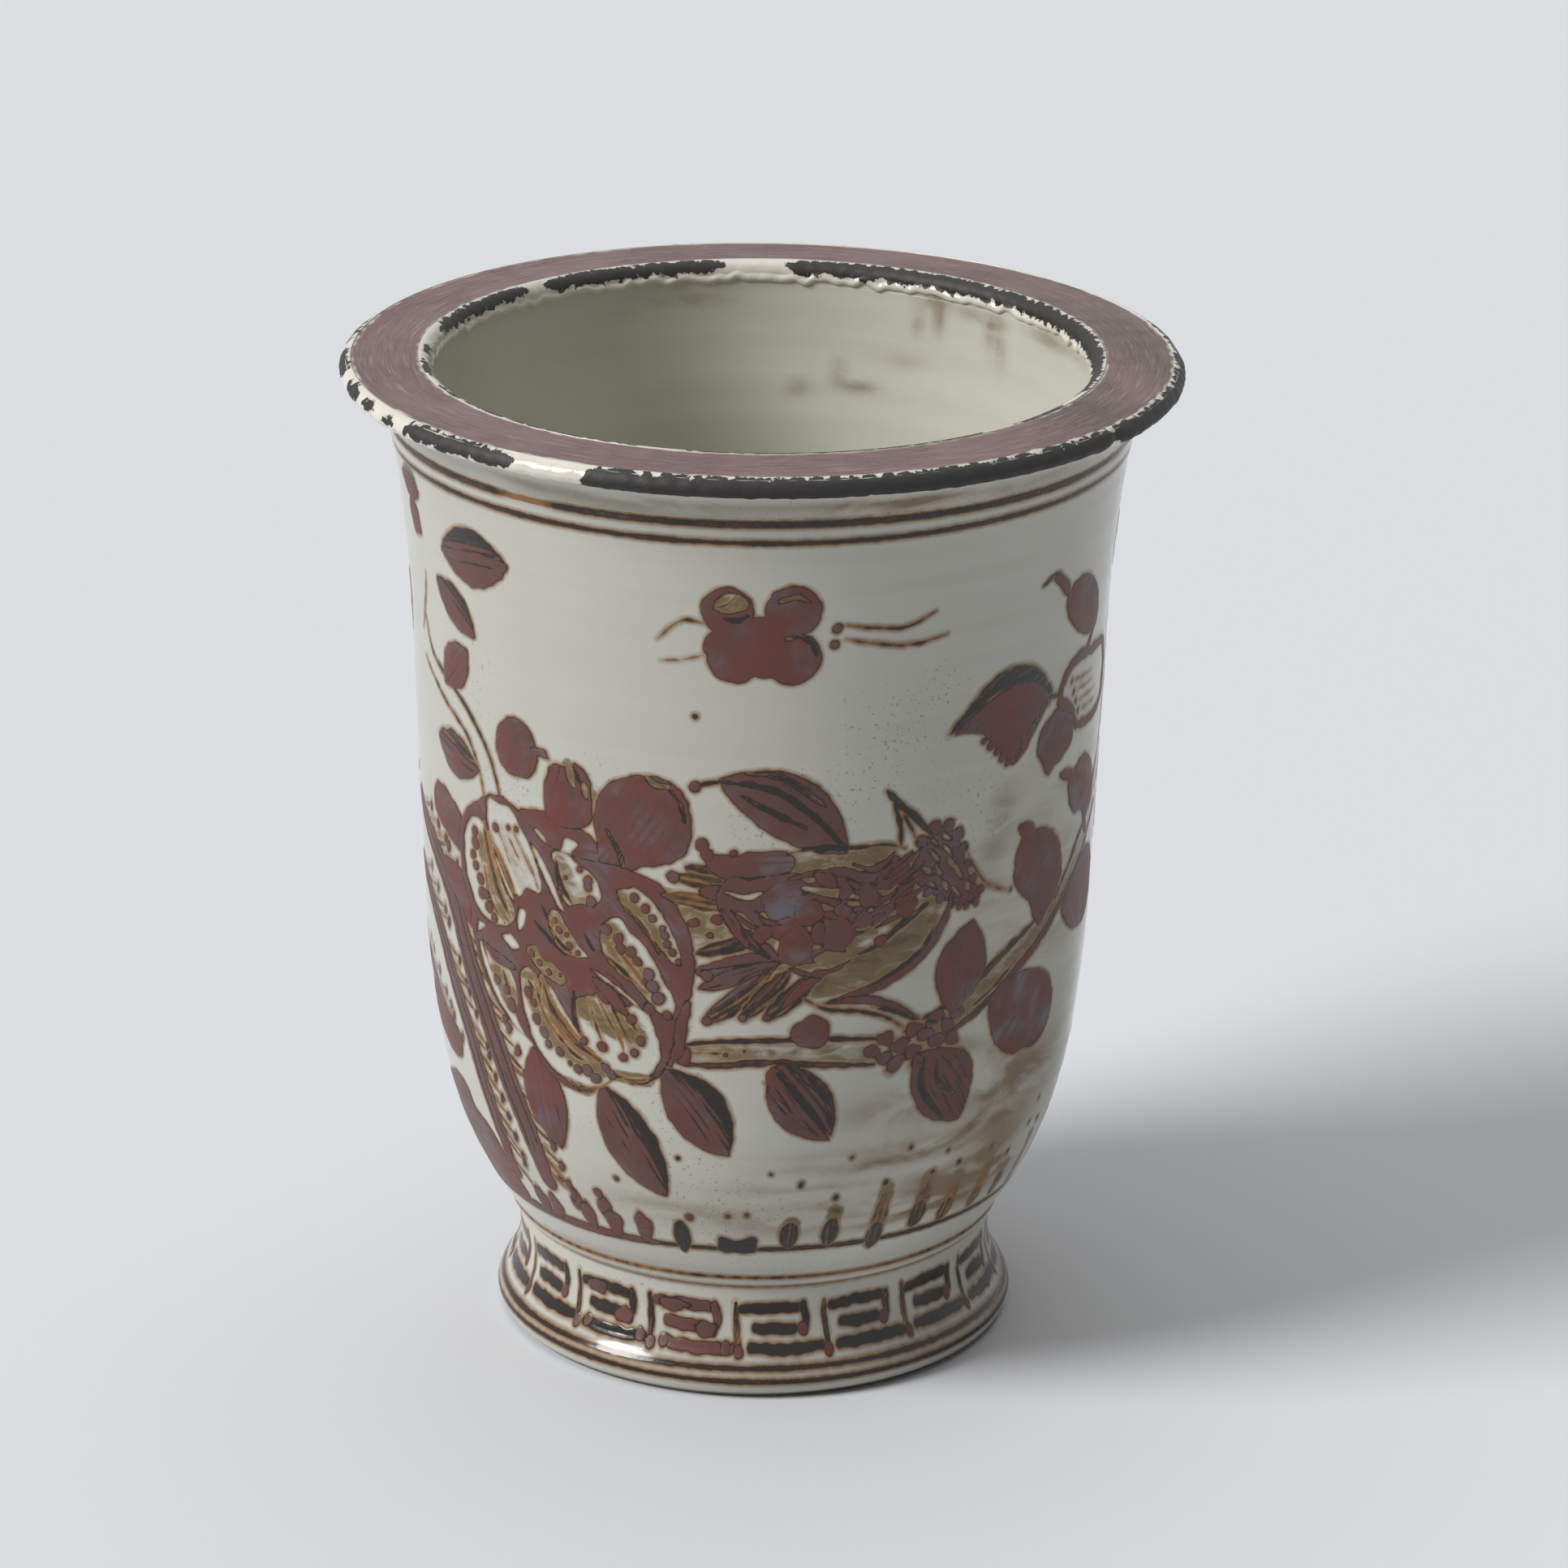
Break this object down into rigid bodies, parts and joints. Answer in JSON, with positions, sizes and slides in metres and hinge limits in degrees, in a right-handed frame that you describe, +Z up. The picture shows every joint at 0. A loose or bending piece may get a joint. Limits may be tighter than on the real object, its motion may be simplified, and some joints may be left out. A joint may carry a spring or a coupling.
{
  "type": "ceramic flower pot",
  "caption": "Tall round ceramic pot on a flared foot, with a broad flat rim, for holding soil or a plant on the floor.",
  "frame": {"origin": "on the ground at the centre of the foot ring", "axes": "+Z up along the pot's axis, -Y towards the side seen in the picture"},
  "size_m": [0.3484, 0.3484, 0.424],
  "materials": {
    "raw_clay": "unglazed grey-buff stoneware, dry",
    "slip_seam": "unglazed luting slip",
    "outer_glaze": "glossy off-white glaze with brown painting",
    "liner_glaze": "thin grey-green satin glaze, stained",
    "rim_coat": "matt brushed mauve-brown coat",
    "roll_glaze": "thick glossy white glaze with black slip"
  },
  "bodies": {
    "root": {"foot_ring": "raw_clay", "foot_seam_slip": "slip_seam", "foot_seam_coil": "raw_clay", "floor_disc": "raw_clay", "base_bowl": "raw_clay", "bowl_seam_slip": "slip_seam", "lower_wall": "raw_clay", "wall_seam_slip": "slip_seam", "upper_wall": "raw_clay", "rim_seam_slip": "slip_seam", "rim_flange": "raw_clay", "outer_glaze": "outer_glaze", "rim_edge_roll": "roll_glaze", "rim_top_coat": "rim_coat", "mouth_roll": "roll_glaze", "liner_glaze": "liner_glaze"}
  },
  "joints": []
}
